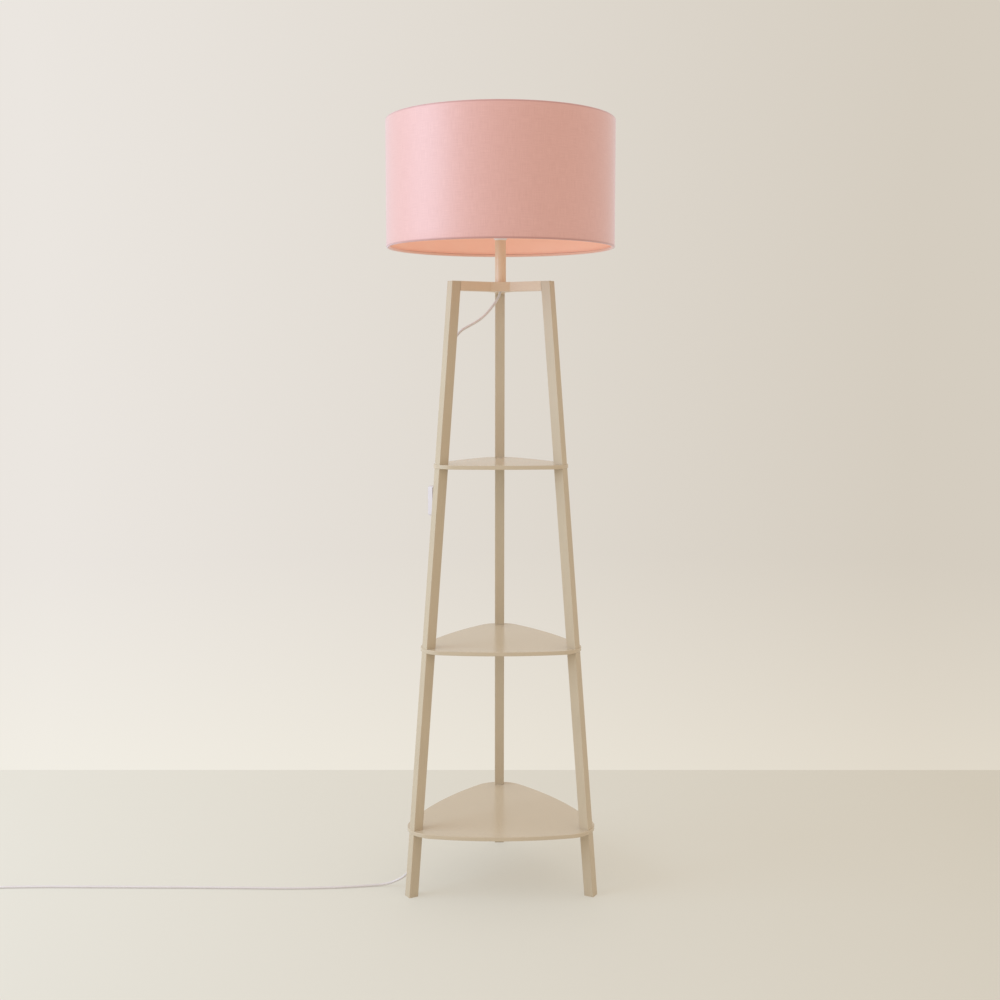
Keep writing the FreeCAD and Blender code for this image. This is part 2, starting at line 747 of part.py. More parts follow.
def make_cords():
    """The two free stretches, the coil with its tie, and the tail to the plug."""
    keep("cord_upper", cord_tube(UPPER_ROUTE, cord_radius, "cord_upper"))
    keep("cord_lower", cord_tube(LOWER_ROUTE, cord_radius, "cord_lower"))
    first = coil_point(0.0)
    lead = Vector(2 * cord_radius, 0, 0)
    edges = [Part.LineSegment(first + lead, first).toShape()]
    steps = round(coil_turns * 4)
    for i in range(steps):
        a, b = i * coil_turns / steps, (i + 1) * coil_turns / steps
        ways = [coil_way(t) for t in (a, b)]
        if i == 0:
            ways[0] = Vector(-1, 0, 0)
        if i == steps - 1:
            ways[1] = Vector(0, 1, 0)
        edges += biarc(coil_point(a), ways[0], coil_point(b), ways[1])
    last = coil_point(coil_turns)
    out = Vector(0, 2 * cord_radius, 0)
    edges.append(Part.LineSegment(last, last + out).toShape())
    path = Part.Wire(edges)
    ring = Part.Wire(Part.makeCircle(cord_radius, first + lead, Vector(-1, 0, 0)))
    coil = path.makePipeShell([ring], True, False)
    share = coil.Volume / (math.pi * cord_radius ** 2 * path.Length)
    print("cord_coil length %.1f, volume/section*length %.4f" % (path.Length, share))
    spots = [coil_point(coil_turns * i / COIL_CHECKS) for i in range(COIL_CHECKS + 1)]
    apart = round(COIL_CHECKS / coil_turns / 4)
    least = min((spots[i] - spots[j]).Length for i in range(COIL_CHECKS + 1)
                for j in range(i + apart, COIL_CHECKS + 1))
    print("  least gap between turns %.2f" % (least - 2 * cord_radius))
    keep("cord_coil", coil)
    make_tie()
    start = last + out
    down = Vector(0, 0, plug_height / 2 - start.z)
    third = Vector(0, tail_length / 3, 0)
    tail = [start, start + third, start + third * 2 + down, start + third * 3 + down]
    keep("cord_tail", cord_tube([tuple(p) for p in tail], cord_radius, "cord_tail"))
    make_plug(tail[-1])


def make_tie():
    """Strap round the coil's stacked turns."""
    a, b = coil_point(tie_turn), coil_point(tie_turn + 1)
    middle = Vector(coil_centre[0], coil_centre[1], 0)
    reaches = [(Vector(p.x, p.y, 0) - middle).Length for p in (a, b)]
    near = min(reaches) - cord_radius - tie_gap
    far = max(reaches) + cord_radius + tie_gap
    top = max(a.z, b.z) + cord_radius + tie_gap
    wall = tie_thickness
    floor = coil_rise - wall - tie_floor_gap
    half = tie_width / 2
    strap = box(-half, half, near - wall, far + wall, floor, top + wall)
    strap = strap.cut(box(-half - wall, half + wall, near, far, floor + wall, top))
    strap.translate(middle)
    keep("cord_tie", strap)


def make_plug(end):
    """Flat two-pin plug lying on the floor, with a tapered sleeve on its cord."""
    relief = Part.makeCone(relief_tip_radius, relief_radius, relief_length, end, Vector(0, 1, 0))
    keep("plug_relief", relief)
    y = end.y + relief_length
    neck, half = plug_neck_width / 2, plug_width / 2
    outline = [Vector(end.x - neck, y, 0), Vector(end.x + neck, y, 0),
               Vector(end.x + half, y + plug_length / 2, 0), Vector(end.x + half, y + plug_length, 0),
               Vector(end.x - half, y + plug_length, 0), Vector(end.x - half, y + plug_length / 2, 0)]
    body = Part.Face(Part.makePolygon(outline + [outline[0]])).extrude(UP * plug_height)
    body = body.makeFillet(plug_edge, body.Edges)
    front = y + plug_length
    pins = []
    for side in (-pin_spacing / 2, pin_spacing / 2):
        start = Vector(end.x + side, front - pin_root, plug_height / 2)
        pins.append(rod(start, start + Vector(0, pin_root + pin_length, 0), pin_radius))
        body = body.cut(pins[-1])
    keep("plug_body", body)
    keep("plug_pins", group(pins))


def make_inner_lead():
    """Sheathed lead in the rod, and its two cores to the terminals."""
    low = UPPER_ROUTE[0][2]
    high = stem_top + rod_head + lead_head
    keep("inner_lead", disc(cord_radius, low, high))
    under = holder_seat + spigot_height - insert_depth - terminal_size[2]
    cores = []
    for side in (-1, 1):
        start = Vector(side * core_spread, 0, high)
        end = Vector(side * (terminal_offset - core_radius), 0, under)
        past = (end - start) * 0.5
        cores.append(rod(start - past, end + past, core_radius))
    trim = box(-BIG, BIG, -BIG, BIG, high, under)
    keep("lead_cores", group([core.common(trim) for core in cores]))


def make_clips():
    """Small saddles that hold the cord on the back of the front left leg."""
    clips = []
    side = leg_side / 2
    far = cord_side + cord_radius + clip_bore_gap + clip_wall
    for height in clip_heights:
        block = box(-leg_side / 2 - clip_half_width, -leg_side / 2 + clip_half_width, -far, -side,
                    height - clip_length / 2, height + clip_length / 2)
        bore = disc(cord_radius + clip_bore_gap, height - clip_length, height + clip_length,
                    -leg_side / 2, -cord_side)
        clips.append(around(leaned(block.cut(bore)), LEG_ANGLES["front_left"]))
    keep("cord_clips", group(clips))


# ---------------------------------------------------------------- switch
def switch_block(near, far):
    """Shell of the switch between two distances from the leg's middle, along the +X leg."""
    x0, x1 = switch_reach - switch_width / 2, switch_reach + switch_width / 2
    z0, z1 = switch_middle - switch_length / 2, switch_middle + switch_length / 2
    block = box(x0, x1, -far, -near, z0, z1)
    corners = [e for e in block.Edges if abs(e.Vertexes[0].Y - e.Vertexes[1].Y) > 1]
    return block.makeFillet(switch_corner, corners)


def cord_holes():
    """Both ends of the switch are bored for the cord."""
    holes = []
    for way in (-1, 1):
        end = Vector(switch_reach, -switch_split, switch_middle + way * (switch_length / 2 + 1))
        inside = Vector(switch_reach, -switch_split, switch_middle + way
                        * (switch_length / 2 - switch_cord_depth))
        holes.append(rod(end, inside, cord_radius + fit_gap))
    return holes


def make_switch():
    """Two shells, a rocker on its pivots, two contacts and two screws."""
    angle = LEG_ANGLES["front_left"]
    x, z = switch_reach, switch_middle
    pocket = switch_width / 2 - switch_wall
    base = switch_block(switch_face, switch_split)
    base = base.cut(box(x - pocket, x + pocket, -switch_split - 1, -switch_face - switch_wall,
                        z - switch_pocket_half, z + switch_pocket_half))
    cover = switch_block(switch_split, switch_front)
    front = [e for e in cover.Edges if max(v.Y for v in e.Vertexes) < -switch_front + 0.1]
    cover = cover.makeFillet(switch_edge, front)
    cover = cover.cut(box(x - pocket, x + pocket, -switch_front + switch_wall, -switch_split + 1,
                          z - switch_pocket_half, z + switch_pocket_half))
    half = rocker_window_width / 2
    cover = cover.cut(box(x - half, x + half, -switch_front - 1, -switch_front + switch_wall + 1,
                          z - rocker_window_half, z + rocker_window_half))
    pivot = Vector(x, -pivot_side, z)
    lug_start = half + pivot_gap
    for side in (-1, 1):
        a, b = sorted((side * lug_start, side * (lug_start + lug_thickness)))
        lug = box(x + a, x + b, -switch_front + switch_wall, -pivot_side + lug_half, z - lug_half,
                  z + lug_half)
        cover = cover.fuse(lug)
    bore_reach = Vector(lug_start + lug_thickness + 1, 0, 0)
    cover = cover.cut(rod(pivot - bore_reach, pivot + bore_reach, pivot_radius + pivot_gap))
    base = base.cut(cord_holes())
    cover = cover.cut(cord_holes())
    screws = []
    for way in (-1, 1):
        at = Vector(x + way * screw_offset[0], -switch_face, z + way * screw_offset[1])
        inward = Vector(0, -1, 0)
        head = Part.makeCylinder(screw_head_radius, screw_head_height, at, inward)
        shank = Part.makeCylinder(screw_radius, screw_length, at, inward)
        screws.append(head.fuse(shank).removeSplitter())
        seat = Part.makeCylinder(screw_head_radius + fit_gap, screw_head_height, at, inward)
        bore = Part.makeCylinder(screw_radius + thread_gap, screw_length + fit_gap, at, inward)
        base = base.cut([seat, bore])
        cover = cover.cut(bore)
    wide, deep, tall = switch_contact_size
    floor = switch_face + switch_wall
    contacts = []
    for way in (-1, 1):
        middle = z + way * switch_contact_offset
        contacts.append(box(x - wide / 2, x + wide / 2, -floor - deep, -floor, middle - tall / 2,
                            middle + tall / 2))
    keep("switch_base", around(base, angle))
    keep("switch_cover", around(cover.removeSplitter(), angle))
    keep("switch_contacts", around(group(contacts), angle))
    keep("switch_screws", around(group(screws), angle))
    keep("switch_rocker", around(make_rocker(pivot), angle))


def make_rocker(pivot):
    """Dished rocker with stub pivots, resting tilted with its lower end pressed in."""
    half = rocker_window_width / 2 - rocker_side_gap
    across = Vector(1, 0, 0)
    drum = Part.makeCylinder(rocker_radius, 2 * half, pivot - across * half, across)
    outer = pivot.y - rocker_depth
    inner = pivot.y + rocker_back
    x0, x1 = pivot.x - half, pivot.x + half
    slab = box(x0, x1, outer, inner, pivot.z - rocker_radius, pivot.z + rocker_radius)
    rocker = drum.common(slab)
    reach = math.sqrt(rocker_radius ** 2 - rocker_depth ** 2)
    dish = [Vector(x0 - 1, outer - 1, pivot.z - reach), Vector(x0 - 1, outer, pivot.z - reach),
            Vector(x0 - 1, outer + rocker_dish, pivot.z), Vector(x0 - 1, outer, pivot.z + reach),
            Vector(x0 - 1, outer - 1, pivot.z + reach)]
    hollow = Part.Face(Part.makePolygon(dish + [dish[0]])).extrude(across * (2 * half + 2))
    rocker = rocker.cut(hollow)
    reach = across * (rocker_window_width / 2 + pivot_gap + lug_thickness)
    rocker = rocker.fuse(rod(pivot - reach, pivot + reach, pivot_radius)).removeSplitter()
    rocker.rotate(pivot, across, rocker_tilt)
    print("rocker pivot", around(Part.Vertex(pivot), LEG_ANGLES["front_left"]).Point)
    return rocker


# ---------------------------------------------------------------- build
make_legs()
make_shelves()
make_joining_hardware()
make_head()
make_stem()
make_bush()
make_holder()
make_holder_inside()
make_shade_skin()
make_shade_frame()
make_collar()
make_bulb()
make_inner_lead()
make_cords()
make_clips()
make_switch()

for node, shape in PARTS.items():
    good = shape.isValid() and all(s.Volume > 0 for s in shape.Solids)
    if not good:
        print("CHECK", node, shape.isValid(), [s.Volume for s in shape.Solids])
    shape.exportStep("parts/" + node + ".step")
print(len(PARTS), "nodes,", sum(len(s.Solids) for s in PARTS.values()), "solids")
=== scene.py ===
import math

import bpy
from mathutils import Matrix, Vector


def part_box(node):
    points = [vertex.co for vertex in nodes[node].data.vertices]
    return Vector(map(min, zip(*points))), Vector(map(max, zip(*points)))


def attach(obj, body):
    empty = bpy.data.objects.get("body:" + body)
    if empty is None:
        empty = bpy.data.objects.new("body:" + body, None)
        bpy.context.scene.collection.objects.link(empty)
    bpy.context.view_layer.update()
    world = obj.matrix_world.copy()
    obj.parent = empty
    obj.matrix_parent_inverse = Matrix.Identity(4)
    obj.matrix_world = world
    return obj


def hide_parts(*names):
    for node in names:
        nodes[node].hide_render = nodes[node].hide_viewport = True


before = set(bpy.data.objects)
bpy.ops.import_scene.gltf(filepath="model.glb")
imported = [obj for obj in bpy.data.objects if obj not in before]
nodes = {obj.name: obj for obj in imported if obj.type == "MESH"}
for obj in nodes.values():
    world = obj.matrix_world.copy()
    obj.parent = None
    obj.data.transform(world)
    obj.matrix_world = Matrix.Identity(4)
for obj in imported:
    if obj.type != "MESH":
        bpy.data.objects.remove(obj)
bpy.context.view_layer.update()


# ---- The view: camera, floor and daylight
# The lamp stands on a pale floor, lit by one large soft window on the left and a little in front.
# The camera is 1.07 m up and 2.74 m away, under a degree to the left, and looks slightly down.
# Lengths in this section are metres.
CAMERA_AWAY = 2.7443
CAMERA_HEIGHT = 1.0694
CAMERA_DOWN = 5.825             # degrees below level
CAMERA_SWING = math.radians(0.8)
CAMERA_ASIDE = math.radians(0.022)
WINDOW_SIDE = 2.2
FLOOR_REACH = 7
FLOOR_FRONT = -8
FLOOR_BACK = 0.739
EVEN_SHARE = 0.6


def linear(code):
    """Linear colour from an sRGB hex code."""
    out = []
    for i in (1, 3, 5):
        c = int(code[i:i + 2], 16) / 255
        out.append(c / 12.92 if c <= 0.04045 else ((c + 0.055) / 1.055) ** 2.4)
    return (*out, 1.0)


def add(tree, kind, inputs=None, **settings):
    """One node with its settings.

    An input goes by its name, or by its number where two in use share a name. It takes a value,
    a link, a node for that node's first output in use, or a list of nodes.
    """
    made = tree.nodes.new(kind)
    for name, value in settings.items():
        setattr(made, name, value)
    for name, value in (inputs or {}).items():
        if isinstance(name, int):
            socket = made.inputs[name]
        else:
            socket = next(one for one in made.inputs if one.name == name and one.enabled)
        for source in value if isinstance(value, list) else [value]:
            if isinstance(source, bpy.types.Node):
                source = next(one for one in source.outputs if one.enabled)
            if isinstance(source, bpy.types.NodeSocket):
                tree.links.new(source, socket)
            else:
                socket.default_value = source
    return made


def material(name):
    """Empty node material and its tree."""
    made = bpy.data.materials.new(name)
    made.use_nodes = True
    made.node_tree.nodes.clear()
    return made, made.node_tree


def shown(tree):
    """1 for rays that show something to the camera: straight, through glass or in a gloss."""
    rays = add(tree, "ShaderNodeLightPath").outputs
    straight = add(tree, "ShaderNodeMath", {0: rays["Is Camera Ray"],
                                            1: rays["Is Transmission Ray"]}, operation="MAXIMUM")
    return add(tree, "ShaderNodeMath", {0: straight, 1: rays["Is Glossy Ray"]},
               operation="MAXIMUM")


scene = bpy.context.scene
scene.view_settings.view_transform = "Standard"
camera = bpy.data.objects.new("camera", bpy.data.cameras.new("camera"))
scene.collection.objects.link(camera)
camera.location = (-CAMERA_AWAY * math.sin(CAMERA_SWING),
                   -CAMERA_AWAY * math.cos(CAMERA_SWING), CAMERA_HEIGHT)
camera.rotation_euler = (math.radians(90 - CAMERA_DOWN), 0.0, CAMERA_ASIDE - CAMERA_SWING)
camera.data.sensor_width = 36.0
camera.data.lens = 48.89
scene.camera = camera

window = bpy.data.lights.new("window", "AREA")
window.shape = "RECTANGLE"
window.size = WINDOW_SIDE
window.size_y = WINDOW_SIDE
window.energy = 70.0
window.color = linear("#BFDFFF")[:3]
window_lamp = bpy.data.objects.new("window", window)
window_lamp.location = (-2.96, -0.91, 1.9)
window_lamp.rotation_euler = (math.radians(74), 0.0, math.radians(-73))
scene.collection.objects.link(window_lamp)

# The floor ends 0.74 m behind the lamp, on a line square to the view, where the wall starts in
# the photograph. The wall is the plain pale colour of the sky dome.
slant = FLOOR_REACH * math.tan(CAMERA_SWING)
corners = [(-FLOOR_REACH, FLOOR_FRONT, 0), (FLOOR_REACH, FLOOR_FRONT, 0),
           (FLOOR_REACH, FLOOR_BACK - slant, 0), (-FLOOR_REACH, FLOOR_BACK + slant, 0)]
floor_mesh = bpy.data.meshes.new("floor")
floor_mesh.from_pydata(corners, [], [(0, 1, 2, 3)])
floor = bpy.data.objects.new("floor", floor_mesh)
scene.collection.objects.link(floor)

# The photograph's floor holds hardly any shadow, so a part of what the camera sees of the floor
# is an even tone. It darkens a little to the right: a painted falloff of the window's light.
floor_paint, tree = material("pale_floor")
place = add(tree, "ShaderNodeTexCoord").outputs["Object"]
sides = add(tree, "ShaderNodeSeparateXYZ", {"Vector": place}).outputs
# painted falloff of the window's light: the floor's tone darkens to the right
across = add(tree, "ShaderNodeMapRange", {"Value": sides["X"], "From Min": -1.2, "From Max": 1.2})
tone = add(tree, "ShaderNodeMix", {"Factor": across, "A": linear("#E6E2D8"),
                                   "B": linear("#CBC2B1")}, data_type="RGBA")
even = add(tree, "ShaderNodeEmission", {"Color": tone, "Strength": 1.0})
lit = add(tree, "ShaderNodeBsdfPrincipled", {"Base Color": linear("#D8D6CC"), "Roughness": 0.75})
share = add(tree, "ShaderNodeMath", {0: shown(tree), 1: EVEN_SHARE}, operation="MULTIPLY")
mixed = add(tree, "ShaderNodeMixShader", {0: share, 1: lit, 2: even})
add(tree, "ShaderNodeOutputMaterial", {"Surface": mixed})
floor_mesh.materials.append(floor_paint)

# What the camera sees of the sky is the wall: paler low down, and darker to the right as a
# painted falloff of the window's light. Its light on the lamp is another one, a warm fill that is
# a little stronger from above.
sky = bpy.data.worlds.new("room_light")
scene.world = sky
sky.use_nodes = True
tree = sky.node_tree
tree.nodes.clear()
facing = add(tree, "ShaderNodeTexCoord").outputs["Generated"]
sides = add(tree, "ShaderNodeSeparateXYZ", {"Vector": facing}).outputs
# painted falloff of the window's light: the wall darkens to the right
across = add(tree, "ShaderNodeMapRange", {"Value": sides["X"], "From Min": -0.3, "From Max": 0.3})
down = add(tree, "ShaderNodeMapRange", {"Value": sides["Z"], "From Min": -0.14,
                                        "From Max": -0.3})
high_wall = add(tree, "ShaderNodeMix", {"Factor": across, "A": linear("#EBE6E0"),
                                        "B": linear("#D5CDC0")}, data_type="RGBA")
low_wall = add(tree, "ShaderNodeMix", {"Factor": across, "A": linear("#F3EFE5"),
                                       "B": linear("#E3DBCC")}, data_type="RGBA")
tone = add(tree, "ShaderNodeMix", {"Factor": down, "A": high_wall, "B": low_wall},
           data_type="RGBA")
wall = add(tree, "ShaderNodeBackground", {"Color": tone, "Strength": 1.0})
above = add(tree, "ShaderNodeMapRange", {"Value": sides["Z"], "From Min": 0.0, "From Max": 1.0,
                                         "To Min": 0.95, "To Max": 1.05})
warm = add(tree, "ShaderNodeMix", {"Factor": sides["Z"], "A": linear("#FFEEDC"),
                                   "B": linear("#FFF8F0")}, data_type="RGBA")
fill = add(tree, "ShaderNodeBackground", {"Color": warm, "Strength": above})
both = add(tree, "ShaderNodeMixShader", {0: shown(tree), 1: fill, 2: wall})
add(tree, "ShaderNodeOutputWorld", {"Surface": both})


# ---- The cord: 5 mm round PVC flex in two stretches
# It drops out of the hub, goes to the back of the front left leg and into the switch, then down
# the leg and along the floor to the left. The rest lies as a tied coil outside the view.
MM = 0.001                      # metres in a millimetre
CORD_RADIUS = 2.5 * MM
UPPER_CORD = [
    (0.0, 0.0, 1220.3), (0.0, 0.0, 1206.3), (-5.6, -1.7, 1193.5), (-18.5, -6.0, 1175.0),
    (-37.0, -12.5, 1155.0), (-58.5, -21.5, 1141.5), (-78.0, -30.0, 1131.5),
    (-93.0, -36.5, 1113.5), (-103.0, -42.0, 1088.0), (-110.0, -46.6, 1058.0),
    (-114.2, -48.9, 1016.0), (-118.8, -50.0, 966.0), (-122.0, -52.0, 916.0),
    (-124.6, -55.0, 878.0), (-125.9, -55.5, 855.0), (-128.9, -50.8, 837.0),
    (-128.9, -50.8, 816.5)]
LOWER_CORD = [
    (-128.9, -50.8, 770.5), (-128.9, -50.8, 750.0), (-134.8, -60.0, 716.0),
    (-139.2, -63.7, 668.0), (-142.4, -65.4, 618.0), (-146.8, -66.0, 566.0),
    (-149.9, -68.4, 524.0), (-152.1, -71.2, 486.0), (-156.4, -71.7, 434.0),
    (-160.8, -73.6, 380.0), (-163.7, -77.8, 330.0), (-167.0, -79.0, 288.0),
    (-172.0, -80.6, 238.0), (-175.9, -83.0, 186.0), (-178.2, -86.1, 140.0),
    (-180.6, -87.6, 102.0), (-182.8, -87.9, 70.0), (-184.2, -82.0, 50.0),
    (-191.5, -69.5, 31.0), (-209.0, -58.5, 15.5), (-234.0, -53.5, 4.4),
    (-266.0, -55.5, 2.6), (-318.0, -63.5, 2.6), (-382.0, -67.5, 2.6), (-448.0, -68.0, 2.6),
    (-516.0, -65.0, 2.6), (-584.0, -62.8, 2.6), (-650.0, -60.0, 2.6), (-720.0, -58.6, 2.6),
    (-790.0, -56.2, 2.6), (-860.0, -54.8, 2.6), (-930.0, -53.0, 2.6), (-988.0, -53.8, 2.6),
    (-1040.0, -56.2, 2.6), (-1082.0, -60.4, 3.0), (-1109.0, -61.5, 3.4), (-1133.0, -61.5, 3.4)]
COIL_MIDDLE = (-1138.0, -30.0)
COIL_OUTER = 31.5               # reach of the cord's middle where the coil starts and ends
COIL_INNER = 25.8               # and halfway between
COIL_TURNS = 2.25
COIL_LOW = 3.4                  # height of the cord's middle in the lower turn
COIL_LAYER = 5.5                # from one turn up to the next
CLIMB_START = 0.875             # turns before the cord climbs
CLIMB_TURNS = 0.5
POINTS_A_TURN = 12
PLUG_MIDDLE = 7.0


def coil_route():
    """Control points of the coil: wide at both ends, narrower halfway, one turn on the other.

    The spline cuts inside its control points, so those between the ends stand further out.
    """
    widen = 1 / (0.75 + 0.25 * math.cos(2 * math.pi / POINTS_A_TURN))
    count = round(COIL_TURNS * POINTS_A_TURN)
    points = []
    for i in range(count + 1):
        turn = COIL_TURNS * i / count
        wide = (1 + math.cos(2 * math.pi * turn / COIL_TURNS)) / 2
        reach = COIL_INNER + (COIL_OUTER - COIL_INNER) * wide
        reach *= 1.0 if i in (0, count) else widen
        climb = min(max((turn - CLIMB_START) / CLIMB_TURNS, 0.0), 1.0)
        a = -math.pi / 2 - 2 * math.pi * turn
        points.append((COIL_MIDDLE[0] + reach * math.cos(a), COIL_MIDDLE[1] + reach * math.sin(a),
                       COIL_LOW + COIL_LAYER * climb * climb * (3 - 2 * climb)))
    return points


x, y, z = coil_route()[-1]
TAIL = [(x, y + 5, z), (x, y + 19, z), (x, y + 33, PLUG_MIDDLE), (x, y + 47, PLUG_MIDDLE)]


def flex(name, route):
    """Round cord along one smooth spline with the route as its control points."""
    curve = bpy.data.curves.new(name, "CURVE")
    curve.dimensions = "3D"
    spline = curve.splines.new("NURBS")
    spline.points.add(len(route) - 1)
    for point, spot in zip(spline.points, route):
        point.co = (spot[0] * MM, spot[1] * MM, spot[2] * MM, 1.0)
    spline.order_u = 3
    spline.use_endpoint_u = True
    spline.resolution_u = 10
    curve.bevel_depth = CORD_RADIUS
    curve.bevel_resolution = 5
    curve.use_fill_caps = True
    made = bpy.data.objects.new(name, curve)
    scene.collection.objects.link(made)
    return made


# Extruded PVC: an even greyish white with a soft broad gloss and a barely uneven skin.
RIPPLE_MM = 3.125
pvc, tree = material("white_pvc_flex")
place = add(tree, "ShaderNodeTexCoord").outputs["Object"]
ripple = add(tree, "ShaderNodeTexNoise", {"Vector": place, "Scale": 1000 / RIPPLE_MM,
                                          "Detail": 2.0})
bump = add(tree, "ShaderNodeBump", {"Height": ripple, "Strength": 0.12, "Distance": 0.1 * MM})
tint = add(tree, "ShaderNodeMix", {"Factor": ripple, "A": linear("#CEC7C6"),
                                   "B": linear("#D9D2D1")}, data_type="RGBA")
skin = add(tree, "ShaderNodeBsdfPrincipled", {"Base Color": tint, "Roughness": 0.42, "IOR": 1.53,
                                              "Normal": bump})
add(tree, "ShaderNodeOutputMaterial", {"Surface": skin})

upper_cord = flex("upper_cord", UPPER_CORD)
lower_cord = flex("lower_cord", LOWER_CORD + coil_route() + TAIL)
for piece in (upper_cord, lower_cord):
    piece.data.materials.append(pvc)
    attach(piece, "lamp")
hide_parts("cord_upper")
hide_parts("cord_lower", "cord_coil", "cord_tail")


# ---- The legs: twelve lengths of 20 mm square beech
# Each leg is four lengths, one between every two shelves, planed with softly broken edges and
# sprayed a warm pale beige before the lamp is put together. The legs carry the darker copy of
# the paint, painted shade against the lighter copy on the head.
LEG_NAMES = ["leg_" + side + "_" + piece for side in ("front_left", "front_right", "rear")
             for piece in ("foot", "lower", "middle", "upper")]
PORE_MM = 1.6
CLOUD_MM = 90
PEEL_MM = 2.2


def dress(surface, *names):
    """Give CAD nodes their material."""
    for name in names:
        nodes[name].data.materials.clear()
        nodes[name].data.materials.append(surface)


def sprayed_wood(name, stretch, low, high, gloss_low=0.34, pore_depth=0.045, relief=1.0):
    """Satin paint over wood or board: the pores run along the piece and just show."""
    made, tree = material(name)
    place = add(tree, "ShaderNodeTexCoord").outputs["Object"]
    laid = add(tree, "ShaderNodeMapping", {"Vector": place, "Scale": stretch})
    grain = add(tree, "ShaderNodeTexNoise", {"Vector": laid, "Scale": 1000 / PORE_MM,
                                             "Detail": 3.0, "Roughness": 0.55})
    cloud = add(tree, "ShaderNodeTexNoise", {"Vector": place, "Scale": 1000 / CLOUD_MM,
                                             "Detail": 1.0})
    peel = add(tree, "ShaderNodeTexNoise", {"Vector": place, "Scale": 1000 / PEEL_MM,
                                            "Detail": 1.0})
    tint = add(tree, "ShaderNodeMix", {"Factor": cloud, "A": linear(low), "B": linear(high)},
               data_type="RGBA")
    pores = add(tree, "ShaderNodeMapRange", {"Value": grain, "From Min": 0.3, "From Max": 0.62,
                                             "To Min": 1.0 - pore_depth, "To Max": 1.0})
    paint = add(tree, "ShaderNodeMix", {"Factor": 1.0, "A": tint, "B": pores},
                data_type="RGBA", blend_type="MULTIPLY")
    sink = add(tree, "ShaderNodeBump", {"Height": grain, "Strength": 0.16 * relief,
                                        "Distance": 0.12 * MM})
    bump = add(tree, "ShaderNodeBump", {"Height": peel, "Strength": 0.12 * relief,
                                        "Distance": 0.1 * MM, "Normal": sink})
    gloss = add(tree, "ShaderNodeMapRange", {"Value": peel, "From Min": 0.3, "From Max": 0.7,
                                             "To Min": gloss_low, "To Max": gloss_low + 0.1})
    skin = add(tree, "ShaderNodeBsdfPrincipled", {"Base Color": paint, "Roughness": gloss,
                                                  "IOR": 1.5, "Normal": bump})
    add(tree, "ShaderNodeOutputMaterial", {"Surface": skin})
    return made


# the darker, shaded copy of the one beige paint
shaded_leg_paint = sprayed_wood("beech_sprayed_beige_shaded_leg", (1.0, 1.0, 0.03), "#BDAE96",
                             "#C4B59D")
dress(shaded_leg_paint, *LEG_NAMES)


# ---- The shelves: three rounded triangles of 8 mm board
# Sawn from moulded fibreboard with an eased rim, and sprayed in the same batch as the legs. The
# board has no grain, so the coat is smoother and glossier, and mirrors the legs a little.
shelf_paint = sprayed_wood("fibreboard_sprayed_beige", (0.2, 0.2, 0.2), "#C1B29B", "#C4B59E",
                           gloss_low=0.16, pore_depth=0.008, relief=0.35)
dress(shelf_paint, "shelf_bottom", "shelf_middle", "shelf_top")


# ---- The head: three beech arms dowelled to a six-sided hub
# The arms and the hub lie level and carry the stem. They are cut from the same stock as the legs
# and sprayed with them. Their copy of the paint is lighter, painted light where the head is more
# brightly lit. The dowels are bare beech, glued in.
DOWEL_GRAIN = 900.0             # grain lines in a metre, about 1.1 mm each
# a lighter copy of the legs' paint: painted light on the head
lit_head_paint = sprayed_wood("beech_sprayed_beige_lit_head", (0.2, 0.2, 1.0), "#D1BDA4", "#D7C4AC")
dress(lit_head_paint, "head_arm_front_left", "head_arm_front_right", "head_arm_rear", "head_hub")

bare_beech, tree = material("beech_dowel_bare")
place = add(tree, "ShaderNodeTexCoord").outputs["Object"]
grain = add(tree, "ShaderNodeTexNoise", {"Vector": place, "Scale": DOWEL_GRAIN, "Detail": 3.0})
tint = add(tree, "ShaderNodeMix", {"Factor": grain, "A": linear("#B98F5E"),
                                   "B": linear("#D3AE7C")}, data_type="RGBA")
skin = add(tree, "ShaderNodeBsdfPrincipled", {"Base Color": tint, "Roughness": 0.7})
add(tree, "ShaderNodeOutputMaterial", {"Surface": skin})
dress(bare_beech, "head_dowels")


# ---- The joining hardware: studs, inserts, rod, washer and nut
# Studs and rod are zinc-plated steel: a grey metal with a cool cloudy gloss. Inserts are turned
# brass. Only the rod's nut and washer can be glimpsed, deep in the hub.
def metal(name, low, high, rough_low, rough_high, spot_mm):
    """Plain metal with a cloudy finish."""
    made, tree = material(name)
    place = add(tree, "ShaderNodeTexCoord").outputs["Object"]
    cloud = add(tree, "ShaderNodeTexNoise", {"Vector": place, "Scale": 1000 / spot_mm,
                                             "Detail": 3.0})
    tint = add(tree, "ShaderNodeMix", {"Factor": cloud, "A": linear(low), "B": linear(high)},
               data_type="RGBA")
    gloss = add(tree, "ShaderNodeMapRange", {"Value": cloud, "From Min": 0.3, "From Max": 0.7,
                                             "To Min": rough_low, "To Max": rough_high})
    skin = add(tree, "ShaderNodeBsdfPrincipled", {"Base Color": tint, "Metallic": 1.0,
                                                  "Roughness": gloss})
    add(tree, "ShaderNodeOutputMaterial", {"Surface": skin})
    return made


zinc = metal("steel_zinc_plated", "#9A9DA0", "#B4B7B9", 0.32, 0.46, 6.0)
brass = metal("brass_turned", "#B08D4A", "#C9A860", 0.25, 0.38, 3.0)
dress(zinc, "joining_studs", "threaded_rod", "rod_washer", "rod_nut", "switch_screws")
dress(brass, "insert_nuts", "holder_contact", "holder_terminals", "switch_contacts")


